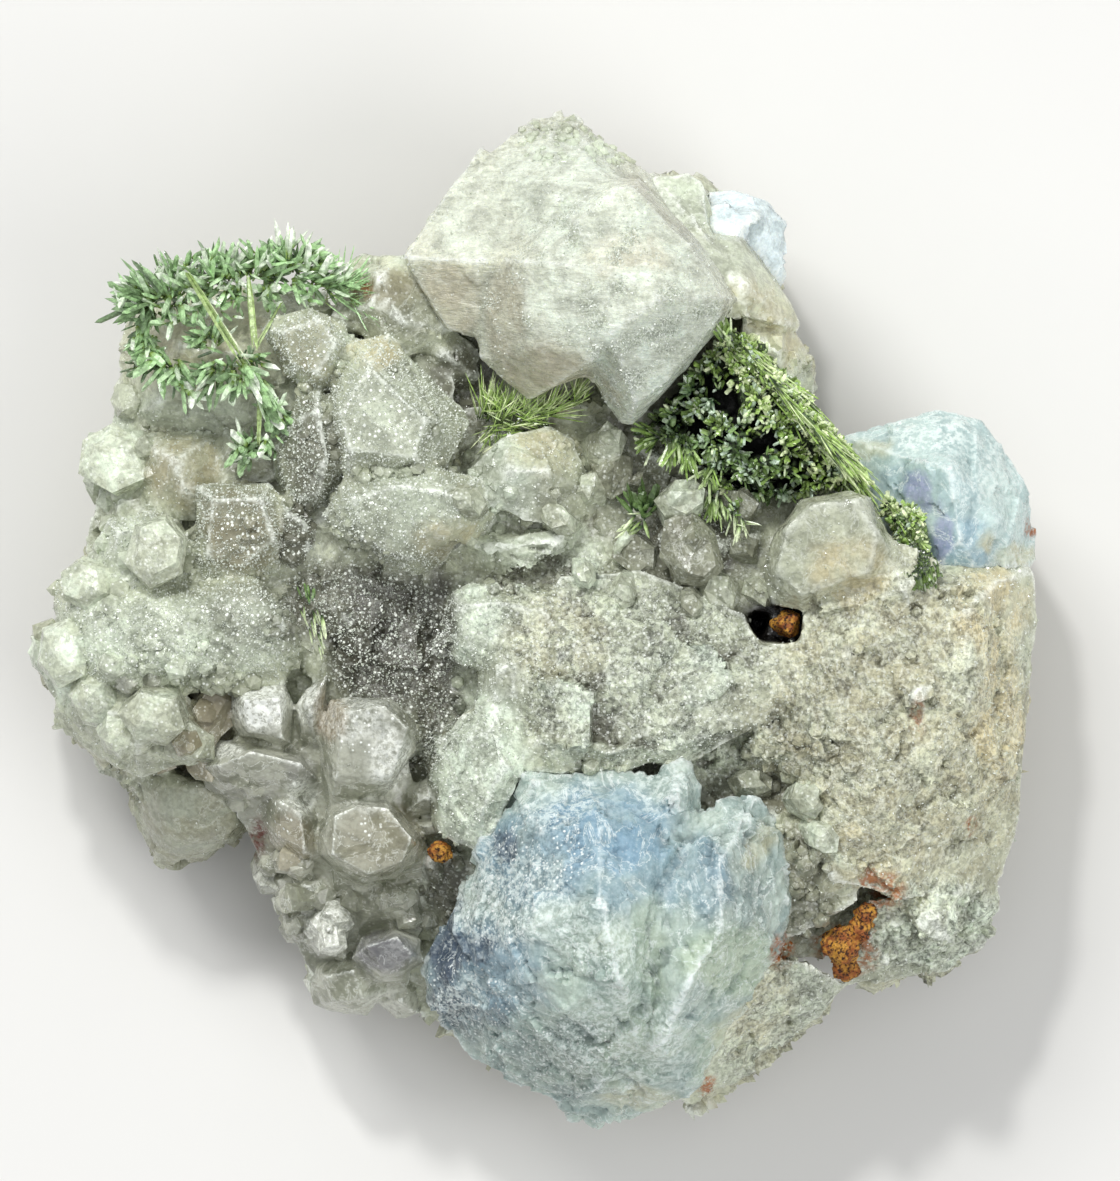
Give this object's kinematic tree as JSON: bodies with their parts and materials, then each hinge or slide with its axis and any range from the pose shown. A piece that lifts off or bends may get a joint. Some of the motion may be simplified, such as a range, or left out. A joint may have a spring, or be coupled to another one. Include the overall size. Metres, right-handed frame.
{
  "type": "olivenite specimen on quartz with fluorite",
  "caption": "Small mineral specimen lying on its flat cut back: green needle sprays on frosted quartz crystals with pale blue fluorite and rusty limonite spots.",
  "frame": {"origin": "centre of the outline seen from +Z, on the flat cut at the back", "axes": "+X right and +Y up across the crystal face as the picture shows it, +Z out of that face"},
  "size_m": [0.0368, 0.0368, 0.0175],
  "materials": {
    "quartz": "satin",
    "frosted_quartz": "satin",
    "clear_quartz": "gloss",
    "white_quartz": "satin",
    "fluorite": "gloss",
    "olivenite": "gloss",
    "limonite": "matte"
  },
  "bodies": {
    "root": {"quartz_matrix": "quartz", "large_top_crystal": "frosted_quartz", "left_quartz_cluster": "frosted_quartz", "clear_quartz_cluster": "clear_quartz", "white_back_crystal": "white_quartz", "front_fluorite": "fluorite", "right_fluorite": "fluorite", "left_olivenite_spray": "olivenite", "right_olivenite_mass": "olivenite", "pocket_olivenite": "olivenite", "centre_olivenite_tuft": "olivenite", "small_tuft_middle": "olivenite", "small_tuft_right": "olivenite", "small_tuft_left": "olivenite", "limonite_in_pit": "limonite", "limonite_lower_right": "limonite", "limonite_beside_fluorite": "limonite"}
  },
  "joints": []
}
